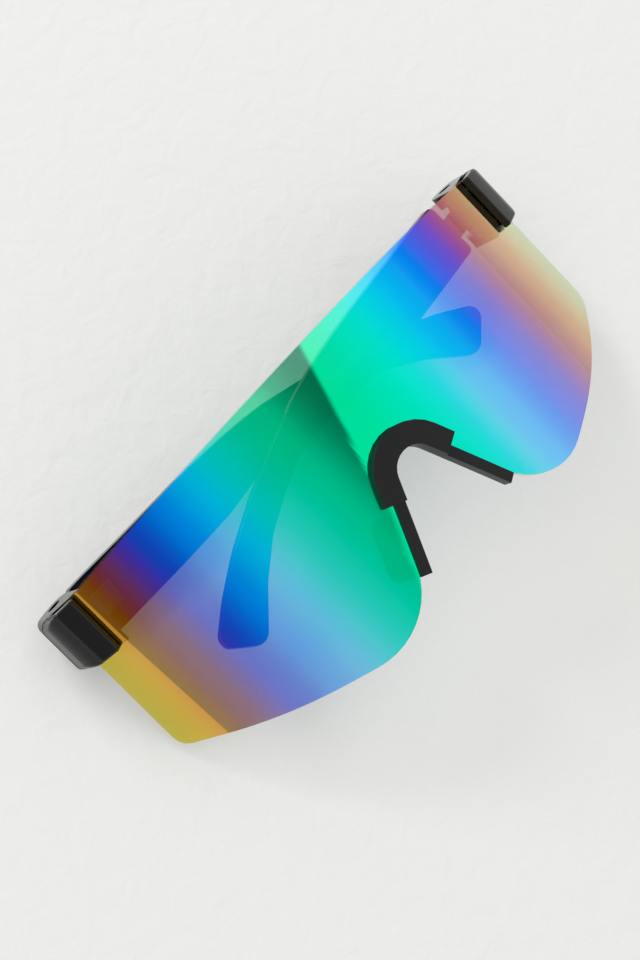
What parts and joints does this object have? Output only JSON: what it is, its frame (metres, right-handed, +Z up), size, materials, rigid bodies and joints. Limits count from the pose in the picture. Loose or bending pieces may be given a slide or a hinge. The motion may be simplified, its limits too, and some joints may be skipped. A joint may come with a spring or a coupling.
{
  "type": "sunglasses",
  "caption": "Shield sunglasses with a one-piece curved mirror lens, black nose piece and end pieces, and two hinged temples, shown folded.",
  "frame": {"origin": "centre of the bounding box's base, on the surface that the folded glasses lie on, lens uppermost", "axes": "+X along the lens's width from the end that is low in the picture to the end that is high in it, +Y towards the brow edge, +Z up from the surface through the lens"},
  "size_m": [0.1364, 0.0604, 0.0451],
  "materials": {
    "lens": "polished polycarbonate with a multi-colour mirror coating, green at the middle through blue and red to yellow at the ends",
    "frame": "satin black moulding",
    "gloss": "polished black moulding",
    "pad": "soft matte black",
    "metal": "plain screw steel"
  },
  "bodies": {
    "front": {"lens": "lens", "bridge_cover": "frame", "nose_frame": "frame", "left_nose_pad": "pad", "right_nose_pad": "pad", "bridge_pins": "frame", "left_end_cap": "gloss", "right_end_cap": "gloss", "left_end_block": "gloss", "right_end_block": "gloss", "left_clamp_screws": "metal", "right_clamp_screws": "metal", "left_front_leaf": "metal", "right_front_leaf": "metal", "left_hinge_screw": "metal", "right_hinge_screw": "metal"},
    "left_temple": {"left_temple": "gloss", "left_temple_leaf": "metal"},
    "right_temple": {"right_temple": "gloss", "right_temple_leaf": "metal"}
  },
  "joints": [
    {"name": "left_temple_fold", "type": "hinge", "parent": "front", "child": "left_temple", "pos_m": [-0.06232, 0.02241, 0.00612], "axis": [-0.0144, 0.9375, 0.3477], "range_deg": [0, 90.5]},
    {"name": "right_temple_fold", "type": "hinge", "parent": "front", "child": "right_temple", "pos_m": [0.06248, 0.02241, 0.01129], "axis": [0.0597, -0.9365, -0.3454], "range_deg": [0, 98.8]}
  ],
  "couplings": [
    {"joint": "right_temple_fold", "follows": "left_temple_fold", "ratio": 0.55}
  ]
}
